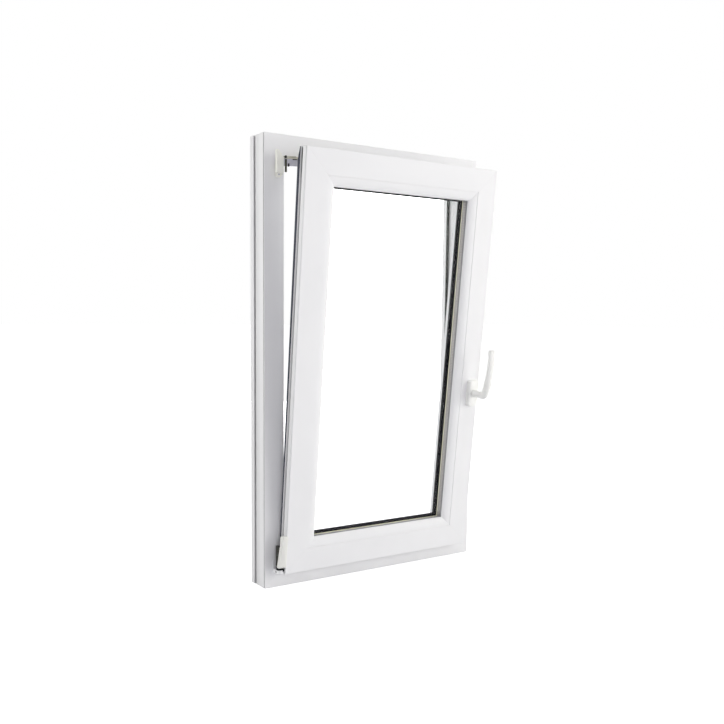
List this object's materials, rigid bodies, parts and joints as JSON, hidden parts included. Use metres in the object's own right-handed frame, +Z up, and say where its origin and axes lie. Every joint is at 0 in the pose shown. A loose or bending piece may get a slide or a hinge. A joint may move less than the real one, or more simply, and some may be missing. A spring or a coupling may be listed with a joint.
{
  "type": "tilt and turn window",
  "caption": "White plastic tilt and turn window: double-glazed sash leaning inward from its frame, hinges left, turning lever handle right.",
  "frame": {"origin": "middle of the frame sill's flat underside", "axes": "+X to the handle side, seen from the room; +Y from the room to the outside; +Z up"},
  "size_m": [0.6, 0.2123, 1],
  "materials": {
    "white_upvc": "satin white plastic profile",
    "ivory_cover": "moulded ivory-white plastic",
    "ivory_lever": "powder-coated ivory-white alloy",
    "black_rubber": "matt black sealing rubber",
    "grey_rubber": "matt grey sealing lip",
    "clear_glass": "clear float glass",
    "spacer_aluminium": "perforated mill aluminium",
    "zinc_steel": "zinc-plated steel"
  },
  "bodies": {
    "window": {"frame_sill": "white_upvc", "frame_head": "white_upvc", "frame_left_jamb": "white_upvc", "frame_right_jamb": "white_upvc", "sash_bottom_rail": "white_upvc", "sash_top_rail": "white_upvc", "sash_left_stile": "white_upvc", "sash_right_stile": "white_upvc", "bead_bottom": "white_upvc", "bead_top": "white_upvc", "bead_left": "white_upvc", "bead_right": "white_upvc", "drain_cap_left": "white_upvc", "drain_cap_right": "white_upvc", "stay_bearing_cap": "ivory_cover", "corner_hinge_cap": "ivory_cover", "handle_rosette": "ivory_cover", "pivot_rest": "ivory_cover", "frame_gasket": "black_rubber", "sash_gasket": "black_rubber", "outer_glazing_gasket": "black_rubber", "bead_gasket": "grey_rubber", "inner_pane": "clear_glass", "outer_pane": "clear_glass", "spacer_bar": "spacer_aluminium", "lock_rail": "zinc_steel", "hinge_rail": "zinc_steel", "top_rail_gear": "zinc_steel", "lower_keep": "zinc_steel", "upper_keep": "zinc_steel", "stay_bearing": "zinc_steel", "stay_arm": "zinc_steel", "corner_hinge": "zinc_steel"},
    "handle": {"handle_lever": "ivory_lever"}
  },
  "joints": [
    {"name": "handle_turn", "type": "hinge", "parent": "window", "child": "handle", "pos_m": [0.242, -0.09878, 0.4262], "axis": [0, -0.9954, -0.0958], "range_deg": [0, 180]}
  ]
}
